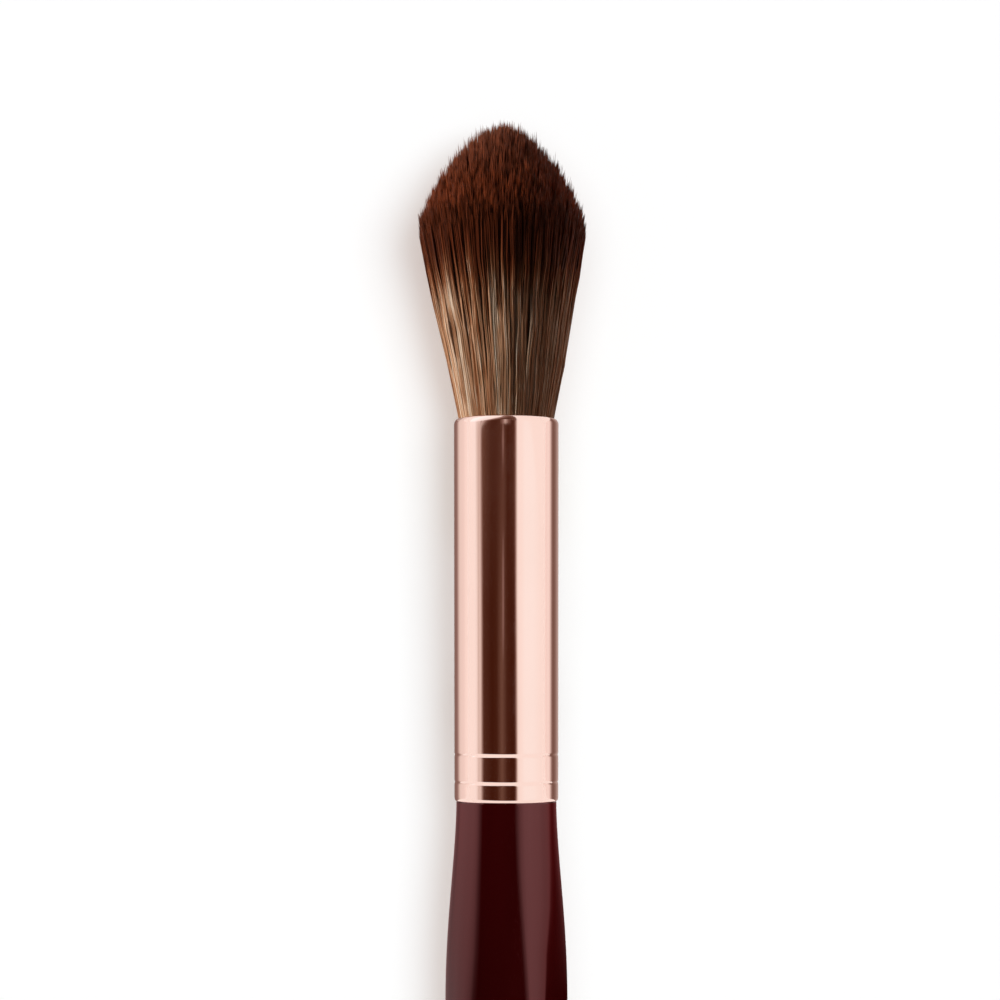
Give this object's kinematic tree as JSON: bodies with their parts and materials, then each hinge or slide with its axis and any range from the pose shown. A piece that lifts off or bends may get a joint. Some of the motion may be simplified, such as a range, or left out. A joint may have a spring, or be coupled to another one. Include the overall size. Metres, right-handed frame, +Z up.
{
  "type": "powder brush",
  "caption": "Tapered powder brush: a domed, dip-dyed hair head set in a rose gold metal ferrule with rolled grooves, on a turned handle lacquered dark burgundy.",
  "frame": {"origin": "on the table, under the middle of the brush's box", "axes": "+Z up from the table, +Y along the brush from the butt to the hair, +X to the right of the brush seen from above. The brush's own axis is tilted 1.3 degrees up towards the hair, because it lies on the hair's belly and the handle's bulge"},
  "size_m": [0.0204, 0.1752, 0.0199],
  "materials": {
    "hair": "synthetic bristle, fawn at the root and dyed dark brown at the tip",
    "epoxy": "cured amber epoxy",
    "ferrule_metal": "polished, rose gold plated",
    "lacquered_wood": "high gloss dark burgundy lacquer",
    "glue": "cured wood glue"
  },
  "bodies": {
    "root": {"bristle_head": "hair", "epoxy_plug": "epoxy", "ferrule": "ferrule_metal", "handle": "lacquered_wood", "glue_ring_1": "glue", "glue_ring_2": "glue"}
  },
  "joints": []
}
